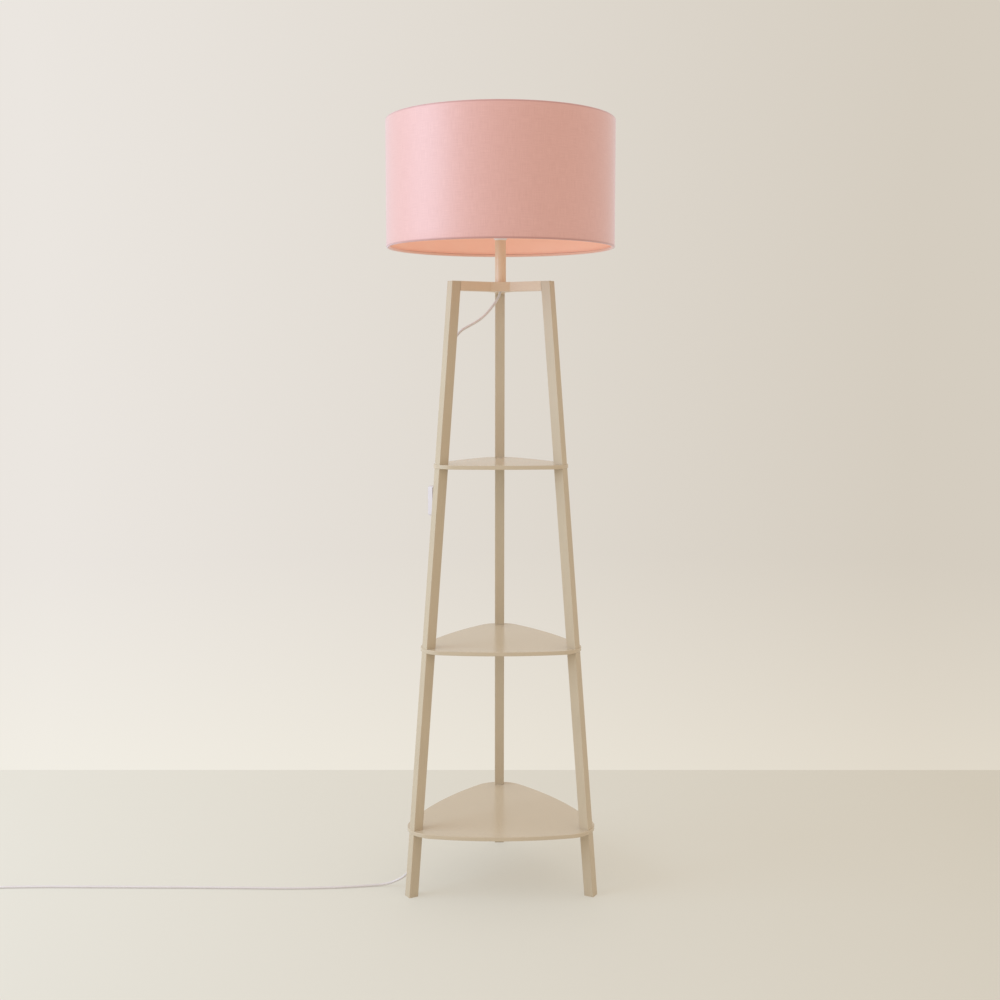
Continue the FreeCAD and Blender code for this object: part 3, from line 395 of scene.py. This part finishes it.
# ---- The stem: a steel tube 22 mm across
# It stands on the hub, clamped by the rod, and is powder-coated in the colour of the wood. The
# coat is even, about as glossy as the sprayed wood, with a fine orange peel.
STEM_PEEL_MM = 1.8
stem_coat, tree = material("steel_powder_coated_beige")
place = add(tree, "ShaderNodeTexCoord").outputs["Object"]
peel = add(tree, "ShaderNodeTexNoise", {"Vector": place, "Scale": 1000 / STEM_PEEL_MM,
                                        "Detail": 1.0})
tint = add(tree, "ShaderNodeMix", {"Factor": peel, "A": linear("#DAC6AC"),
                                   "B": linear("#DECBB2")}, data_type="RGBA")
bump = add(tree, "ShaderNodeBump", {"Height": peel, "Strength": 0.15, "Distance": 0.1 * MM})
skin = add(tree, "ShaderNodeBsdfPrincipled", {"Base Color": tint, "IOR": 1.5, "Roughness": 0.33,
                                              "Normal": bump})
add(tree, "ShaderNodeOutputMaterial", {"Surface": skin})
dress(stem_coat, "stem_tube")


# ---- The lamp holder: moulded white cap and body, a ceramic insert and a brass screw shell
# The cap screws on the rod and the body on the cap. The ribbed collar screws down on the body
# and clamps the shade's fitter ring.
TEXTURE_MM = 0.5
BROAD_MM = 18


def moulded(name, low, high, rough, texture):
    """Injection-moulded plastic: even colour, a faint spark-eroded texture."""
    made, tree = material(name)
    place = add(tree, "ShaderNodeTexCoord").outputs["Object"]
    fine = add(tree, "ShaderNodeTexNoise", {"Vector": place, "Scale": 1000 / TEXTURE_MM,
                                            "Detail": 2.0})
    broad = add(tree, "ShaderNodeTexNoise", {"Vector": place, "Scale": 1000 / BROAD_MM,
                                             "Detail": 1.0})
    tint = add(tree, "ShaderNodeMix", {"Factor": broad, "A": linear(low), "B": linear(high)},
               data_type="RGBA")
    bump = add(tree, "ShaderNodeBump", {"Height": fine, "Strength": texture,
                                        "Distance": 0.08 * MM})
    skin = add(tree, "ShaderNodeBsdfPrincipled", {"Base Color": tint, "Roughness": rough,
                                                  "IOR": 1.5, "Normal": bump})
    add(tree, "ShaderNodeOutputMaterial", {"Surface": skin})
    return made


white_moulding = moulded("pbt_moulded_white", "#E3E1E4", "#EAE8EB", 0.3, 0.15)
ceramic = moulded("steatite_glazed", "#DDD9CF", "#E6E2D9", 0.22, 0.05)
dress(white_moulding, "holder_cap", "holder_body", "shade_collar", "cord_bush", "stem_end_plugs")
dress(ceramic, "holder_insert")


# ---- The bulb: opal glass on a nickel-plated screw cap
# The cap and the shell that it screws into are rolled from sheet, so the round thread is a ridge
# that winds up the wall. A black glass insulator holds the tip.
THREAD_PITCH = 3.62 * MM
CAP_RADIUS = 12.75 * MM
SHELL_RADIUS = 13.6 * MM


def form_tree(name, sizes):
    """Empty tree with an input for each size, given as its name, kind and default value."""
    group = bpy.data.node_groups.new(name, "GeometryNodeTree")
    for label, kind, value in sizes:
        socket = group.interface.new_socket(label, in_out="INPUT",
                                            socket_type="NodeSocket" + kind)
        if value is not None:
            socket.default_value = value
    group.interface.new_socket("Material", in_out="INPUT", socket_type="NodeSocketMaterial")
    group.interface.new_socket("Geometry", in_out="OUTPUT", socket_type="NodeSocketGeometry")
    return group, add(group, "NodeGroupInput").outputs


def deliver(group, form, surface):
    """End a tree: real geometry in its material."""
    real = add(group, "GeometryNodeRealizeInstances", {"Geometry": form})
    faced = add(group, "GeometryNodeSetMaterial", {"Geometry": real, "Material": surface})
    add(group, "NodeGroupOutput", {"Geometry": faced})


def thread_tree():
    """Tree that winds a round ridge up a thin tube: radius, height, pitch and ridge are inputs."""
    group, sizes = form_tree("rolled_thread", [
        ("Radius", "Float", 13 * MM), ("Height", "Float", 20 * MM), ("Low", "Float", 0.0),
        ("Pitch", "Float", 3.6 * MM), ("Ridge", "Float", 0.6 * MM)])
    turns = add(group, "ShaderNodeMath", {0: sizes["Height"], 1: sizes["Pitch"]},
                operation="DIVIDE")
    spiral = add(group, "GeometryNodeCurveSpiral",
                 {"Resolution": 40, "Rotations": turns, "Start Radius": sizes["Radius"],
                  "End Radius": sizes["Radius"], "Height": sizes["Height"]})
    ridge = add(group, "GeometryNodeCurvePrimitiveCircle", {"Resolution": 10,
                                                            "Radius": sizes["Ridge"]})
    wound = add(group, "GeometryNodeCurveToMesh", {"Curve": spiral, "Profile Curve": ridge,
                                                   "Fill Caps": True})
    top = add(group, "ShaderNodeCombineXYZ", {"Z": sizes["Height"]})
    axis = add(group, "GeometryNodeCurvePrimitiveLine", {"End": top})
    ring = add(group, "GeometryNodeCurvePrimitiveCircle", {"Resolution": 64,
                                                           "Radius": sizes["Radius"]})
    wall = add(group, "GeometryNodeCurveToMesh", {"Curve": axis, "Profile Curve": ring})
    joined = add(group, "GeometryNodeJoinGeometry", {"Geometry": [wound, wall]})
    lift = add(group, "ShaderNodeCombineXYZ", {"Z": sizes["Low"]})
    placed = add(group, "GeometryNodeTransform", {"Geometry": joined, "Translation": lift})
    deliver(group, placed, sizes["Material"])
    return group


def baked(maker, name):
    """Plain mesh of an object with its modifiers worked out."""
    bpy.context.view_layer.update()
    view = maker.evaluated_get(bpy.context.evaluated_depsgraph_get())
    mesh = bpy.data.meshes.new_from_object(view)
    mesh.name = name
    return mesh


def grown(name, group, start=None, **sizes):
    """Plain mesh made by a tree with the given input values."""
    maker = bpy.data.objects.new(name + "_maker", start or bpy.data.meshes.new(name + "_start"))
    scene.collection.objects.link(maker)
    modifier = maker.modifiers.new("tree", "NODES")
    modifier.node_group = group
    for item in group.interface.items_tree:
        if item.item_type == "SOCKET" and item.in_out == "INPUT" and item.name in sizes:
            modifier[item.identifier] = sizes[item.name]
    mesh = baked(maker, name)
    bpy.data.objects.remove(maker)
    made = bpy.data.objects.new(name, mesh)
    scene.collection.objects.link(made)
    return made


def smooth(piece, angle=35):
    """Shade round faces smoothly and keep edges sharper than the angle."""
    piece.data.shade_smooth()
    piece.data.set_sharp_from_angle(angle=math.radians(angle))


nickel = metal("brass_nickel_plated", "#B5B2A8", "#C9C6BC", 0.18, 0.3, 4.0)
thread = thread_tree()
cap_low, cap_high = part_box("bulb_cap")
cap = grown("bulb_screw_cap", thread, Radius=CAP_RADIUS, Height=cap_high.z - cap_low.z,
            Low=cap_low.z, Pitch=THREAD_PITCH, Ridge=0.5 * MM, Material=nickel)
smooth(cap)
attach(cap, "bulb")
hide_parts("bulb_cap")
shell_low, shell_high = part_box("holder_shell")
shell = grown("holder_screw_shell", thread, Radius=SHELL_RADIUS,
              Height=shell_high.z - shell_low.z, Low=shell_low.z, Pitch=THREAD_PITCH,
              Ridge=0.25 * MM, Material=brass)
smooth(shell)
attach(shell, "lamp")
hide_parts("holder_shell")

# Opal glass: a white body under a clear skin, so it glows softly and keeps a sharp highlight.
MILK_MM = 30
opal, tree = material("glass_opal")
place = add(tree, "ShaderNodeTexCoord").outputs["Object"]
milk = add(tree, "ShaderNodeTexNoise", {"Vector": place, "Scale": 1000 / MILK_MM})
tint = add(tree, "ShaderNodeMix", {"Factor": milk, "A": linear("#F1EFE8"),
                                   "B": linear("#F7F5EF")}, data_type="RGBA")
skin = add(tree, "ShaderNodeBsdfPrincipled",
           {"Base Color": tint, "Roughness": 0.12, "IOR": 1.5, "Subsurface Weight": 0.4,
            "Subsurface Radius": (0.01, 0.009, 0.008), "Subsurface Scale": 0.3})
add(tree, "ShaderNodeOutputMaterial", {"Surface": skin})
dress(opal, "bulb_glass")
vitrite = moulded("glass_black_insulator", "#0B0B0D", "#141416", 0.12, 0.02)
dress(vitrite, "bulb_insulator")


# ---- The shade: cloth laminated on a stiff liner, rolled round two ring wires
# The cloth is one strip of fine plain-weave cotton, dusty rose, glued edge over edge at the back.
# It turns round each ring wire and 5 mm back inside.
SHADE_RADIUS = 227.0 * MM
SHADE_LOW = 1293.5 * MM
SHADE_HIGH = 1542.3 * MM
HEM_RADIUS = 2.7 * MM
HEM_TURNED_IN = 5.0 * MM
CLOTH = 0.8 * MM
ROLL_LENGTH = math.pi * HEM_RADIUS + HEM_TURNED_IN - HEM_RADIUS
STRIP_WIDTH = SHADE_HIGH - SHADE_LOW - 2 * HEM_RADIUS + 2 * ROLL_LENGTH
HEM_SEEN = STRIP_WIDTH / 2 - ROLL_LENGTH        # from the strip's middle to where it rolls
ROLL_STEPS = 8
WALL_STEPS = 12
ROUND_STEPS = 145


def shade_section():
    """Open line of the cloth in section, from the lower turned-in edge to the upper one."""
    inner = SHADE_RADIUS - 2 * HEM_RADIUS
    middle = SHADE_RADIUS - HEM_RADIUS
    low, high = SHADE_LOW + HEM_RADIUS, SHADE_HIGH - HEM_RADIUS

    def roll(height, start):
        turns = [start + math.pi * i / ROLL_STEPS for i in range(ROLL_STEPS + 1)]
        return [(middle + HEM_RADIUS * math.cos(a), height + HEM_RADIUS * math.sin(a))
                for a in turns]

    wall = [(SHADE_RADIUS, low + (high - low) * i / WALL_STEPS) for i in range(1, WALL_STEPS)]
    return [(inner, SHADE_LOW + HEM_TURNED_IN), *roll(low, math.pi), *wall, *roll(high, 0.0),
            (inner, SHADE_HIGH - HEM_TURNED_IN)]


def sweep_tree():
    """Tree that sweeps a section once round the axis and keeps its flat lengths as a UV map."""
    group, inputs = form_tree("swept_round", [
        ("Geometry", "Geometry", None), ("Steps", "Int", 144), ("Radius", "Float", 0.225)])
    along = add(group, "GeometryNodeSplineParameter").outputs["Length"]
    section = add(group, "GeometryNodeMeshToCurve", {"Mesh": inputs["Geometry"]})
    ring = add(group, "GeometryNodeCurveArc", {"Resolution": inputs["Steps"],
                                               "Radius": inputs["Radius"],
                                               "Sweep Angle": 2 * math.pi})
    measured = []
    for curve, way in ((section, "up"), (ring, "round")):
        kept = add(group, "GeometryNodeCaptureAttribute", {"Geometry": curve})
        kept.capture_items.new("FLOAT", way)
        group.links.new(along, kept.inputs[way])
        measured.append(kept)
    section, ring = measured
    swept = add(group, "GeometryNodeCurveToMesh", {"Curve": ring, "Profile Curve": section})
    flat = add(group, "ShaderNodeCombineXYZ", {"X": ring.outputs["round"],
                                               "Y": section.outputs["up"]})
    mapped = add(group, "GeometryNodeStoreNamedAttribute",
                 {"Geometry": swept, "Name": "UVMap", "Value": flat},
                 data_type="FLOAT2", domain="CORNER")
    merged = add(group, "GeometryNodeMergeByDistance", {"Geometry": mapped,
                                                        "Distance": 0.01 * MM})
    deliver(group, merged, inputs["Material"])
    return group


# Plain-weave cotton: matt, with a pale bloom where the light grazes the fibres. It is deeper in
# colour where it rolls round the wires, painted shade of the rolled hem, and as light as the liner
# where it is turned in, which is the liner's painted glow. Threads are 0.5 mm apart in the real
# cloth and 1.2 mm here, so that the weave shows.
THREAD_GAP = 1.2 * MM
SLUBS_ALONG = 40.0              # thick stretches in a metre of yarn, 25 mm each
SLUBS_ACROSS = 900.0            # and 1.1 mm wide
DEEPER_OVER = 1.5 * MM          # before the roll
PALER_FROM = 4.5 * MM           # past its start
PALER_TO = 5.5 * MM
rose_cotton, tree = material("cotton_plain_weave_rose")
flat = add(tree, "ShaderNodeUVMap", uv_map="UVMap")
bands = 2 * math.pi / 20 / THREAD_GAP
warp, weft = (add(tree, "ShaderNodeTexWave", {"Vector": flat, "Scale": bands},
                  bands_direction=way).outputs["Fac"] for way in "XY")
weave = add(tree, "ShaderNodeMath", {0: warp, 1: weft}, operation="MULTIPLY")
slubs = []
for stretch in ((SLUBS_ALONG, SLUBS_ACROSS, 1.0), (SLUBS_ACROSS, SLUBS_ALONG, 1.0)):
    laid = add(tree, "ShaderNodeMapping", {"Vector": flat, "Scale": stretch})
    slubs.append(add(tree, "ShaderNodeTexNoise", {"Vector": laid, "Scale": 1.0, "Detail": 2.0}))
both = add(tree, "ShaderNodeMath", {0: slubs[0], 1: slubs[1]}, operation="ADD")
yarn = add(tree, "ShaderNodeMapRange", {"Value": both, "From Min": 0.7, "From Max": 1.3})
tint = add(tree, "ShaderNodeMix", {"Factor": yarn, "A": linear("#DAA49C"),
                                   "B": linear("#E4B1A9")}, data_type="RGBA")
height = add(tree, "ShaderNodeSeparateXYZ", {"Vector": flat}).outputs["Y"]
half = add(tree, "ShaderNodeMath", {0: height, 1: STRIP_WIDTH / 2}, operation="SUBTRACT")
from_middle = add(tree, "ShaderNodeMath", {0: half}, operation="ABSOLUTE")
# painted shade: the cloth darkens where it rolls round the wires
hem = add(tree, "ShaderNodeMapRange", {"Value": from_middle, "From Min": HEM_SEEN - DEEPER_OVER,
                                       "From Max": HEM_SEEN})
tint = add(tree, "ShaderNodeMix", {"Factor": hem, "A": tint, "B": linear("#C58F88")},
           data_type="RGBA")
# painted glow, as on the liner: the turned-in cloth is paler
inside = add(tree, "ShaderNodeMapRange", {"Value": from_middle, "From Min": HEM_SEEN + PALER_FROM,
                                          "From Max": HEM_SEEN + PALER_TO})
tint = add(tree, "ShaderNodeMix", {"Factor": inside, "A": tint, "B": linear("#EEBFAB")},
           data_type="RGBA")
holes = add(tree, "ShaderNodeMapRange", {"Value": weave, "From Min": 0.0, "From Max": 0.5,
                                         "To Min": 0.93, "To Max": 1.0})
cloth_colour = add(tree, "ShaderNodeMix", {"Factor": 1.0, "A": tint, "B": holes},
                   data_type="RGBA", blend_type="MULTIPLY")
bump = add(tree, "ShaderNodeBump", {"Height": weave, "Strength": 0.25, "Distance": 0.15 * MM})
skin = add(tree, "ShaderNodeBsdfPrincipled",
           {"Base Color": cloth_colour, "Roughness": 0.5, "Specular IOR Level": 1.0,
            "Sheen Weight": 1.0, "Sheen Roughness": 0.45, "Sheen Tint": linear("#F4F0FF"),
            "Normal": bump})
add(tree, "ShaderNodeOutputMaterial", {"Surface": skin})

line = shade_section()
section_mesh = bpy.data.meshes.new("shade_section")
section_mesh.from_pydata([(r - SHADE_RADIUS, -z, 0.0) for r, z in line],
                         [(i, i + 1) for i in range(len(line) - 1)], [])
shade = grown("shade_cloth", sweep_tree(), section_mesh, Steps=ROUND_STEPS, Radius=SHADE_RADIUS,
              Material=rose_cotton)


def thicken(piece, thickness):
    """Give a sheet its thickness, inwards from its outer face, and keep the result as a mesh."""
    solid = piece.modifiers.new("thickness", "SOLIDIFY")
    solid.thickness = thickness
    solid.offset = -1.0
    old = piece.data
    made = baked(piece, piece.name)
    piece.modifiers.clear()
    piece.data = made
    bpy.data.meshes.remove(old)


shade.data.flip_normals()
thicken(shade, CLOTH)
smooth(shade, 50)
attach(shade, "shade")
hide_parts("shade_fabric")

# The liner is a smooth milky sheet. Its bright peach colour is painted light: the glow of
# daylight that comes through the cloth behind it.
MIST_MM = 40
liner_glow, tree = material("styrene_liner_sheet")
place = add(tree, "ShaderNodeTexCoord").outputs["Object"]
mist = add(tree, "ShaderNodeTexNoise", {"Vector": place, "Scale": 1000 / MIST_MM})
tint = add(tree, "ShaderNodeMix", {"Factor": mist, "A": linear("#FFCFBC"),
                                   "B": linear("#FFD6C4")}, data_type="RGBA")
skin = add(tree, "ShaderNodeBsdfPrincipled", {"Base Color": tint, "Roughness": 0.6})
add(tree, "ShaderNodeOutputMaterial", {"Surface": skin})
dress(liner_glow, "shade_liner")

# Fitter, spokes and ring wires are steel dipped in white paint.
white_wire = moulded("steel_dipped_white", "#DEDCD8", "#E6E4E0", 0.35, 0.1)
dress(white_wire, "shade_spokes", "fitter_ring", "shade_rings")


# ---- The switch: two ABS shells round a rocker, screwed together at the back
# It hangs on the cord beside the leg. The shells have a fine matt grain, and the rocker is
# polished. The clips that hold the cord to the leg are moulded in the same white.
grained_abs = moulded("abs_grained_white", "#C9C1C2", "#D2CACB", 0.45, 0.3)
polished_abs = moulded("abs_polished_white", "#CFC8CA", "#D8D1D3", 0.18, 0.02)
dress(grained_abs, "switch_base", "switch_cover", "cord_clips")
dress(polished_abs, "switch_rocker")


# ---- The lead inside the stem: the cord's own sheath and its two cores
# The cord goes up through the hollow rod. Its sheath is stripped just above the rod, and the
# brown cores go to the holder's terminals.
dress(pvc, "inner_lead")
core_pvc = moulded("pvc_core_brown", "#5F3C26", "#6E4730", 0.4, 0.05)
dress(core_pvc, "lead_cores")


# ---- The plug: flat white body, two nickel pins and a ribbed sleeve for the cord
# The body and the tie round the coil are as white as the switch. The sleeve is soft PVC with ribs
# moulded round it, so that it bends evenly.
SLEEVE_TIP = 3.1 * MM
SLEEVE_GROOVE = 0.5 * MM
SLEEVE_RIB = 1.3 * MM
SLEEVE_RIBS = 9
dress(grained_abs, "plug_body", "cord_tie")
dress(nickel, "plug_pins")


def ribbed_tree():
    """Tree of a tapered core with evenly spaced ribs; the sizes and the count are inputs."""
    group, sizes = form_tree("ribbed_sleeve", [
        ("Length", "Float", 25 * MM), ("Tip", "Float", 3 * MM), ("Root", "Float", 4.4 * MM),
        ("Groove", "Float", 0.6 * MM), ("Rib", "Float", 1.4 * MM), ("Ribs", "Int", 9),
        ("Place", "Vector", None)])
    tip = add(group, "ShaderNodeMath", {0: sizes["Tip"], 1: sizes["Groove"]},
              operation="SUBTRACT")
    root = add(group, "ShaderNodeMath", {0: sizes["Root"], 1: sizes["Groove"]},
               operation="SUBTRACT")
    core = add(group, "GeometryNodeMeshCone", {"Vertices": 40, "Radius Bottom": tip,
                                               "Radius Top": root, "Depth": sizes["Length"]})
    half_rib = add(group, "ShaderNodeMath", {0: sizes["Rib"], 1: 0.5}, operation="MULTIPLY")
    reach = add(group, "ShaderNodeMath", {0: sizes["Length"], 1: sizes["Rib"]},
                operation="SUBTRACT")
    gaps = add(group, "ShaderNodeMath", {0: sizes["Ribs"], 1: 1.0}, operation="SUBTRACT")
    pitch = add(group, "ShaderNodeMath", {0: reach, 1: gaps}, operation="DIVIDE")
    low = add(group, "ShaderNodeCombineXYZ", {"Z": half_rib})
    step = add(group, "ShaderNodeCombineXYZ", {"Z": pitch})
    spots = add(group, "GeometryNodeMeshLine", {"Count": sizes["Ribs"], "Start Location": low,
                                                "Offset": step})
    rib = add(group, "GeometryNodeMeshCylinder", {"Vertices": 40, "Radius": 1.0,
                                                  "Depth": sizes["Rib"]})
    order = add(group, "GeometryNodeInputIndex")
    wide = add(group, "ShaderNodeMapRange", {"Value": order, "From Min": 0.0, "From Max": gaps,
                                             "To Min": sizes["Tip"], "To Max": sizes["Root"]})
    scale = add(group, "ShaderNodeCombineXYZ", {"X": wide, "Y": wide, "Z": 1.0})
    ribs = add(group, "GeometryNodeInstanceOnPoints", {"Points": spots, "Instance": rib,
                                                       "Scale": scale})
    joined = add(group, "GeometryNodeJoinGeometry", {"Geometry": [ribs, core]})
    placed = add(group, "GeometryNodeTransform",
                 {"Geometry": joined, "Translation": sizes["Place"],
                  "Rotation": (-math.pi / 2, 0.0, 0.0)})
    deliver(group, placed, sizes["Material"])
    return group


relief_low, relief_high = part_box("plug_relief")
sleeve = grown("plug_ribbed_sleeve", ribbed_tree(), Length=relief_high.y - relief_low.y,
               Tip=SLEEVE_TIP, Root=(relief_high.z - relief_low.z) / 2, Groove=SLEEVE_GROOVE,
               Rib=SLEEVE_RIB, Ribs=SLEEVE_RIBS, Material=grained_abs,
               Place=((relief_low.x + relief_high.x) / 2, relief_low.y,
                      (relief_low.z + relief_high.z) / 2))
smooth(sleeve)
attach(sleeve, "lamp")
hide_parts("plug_relief")
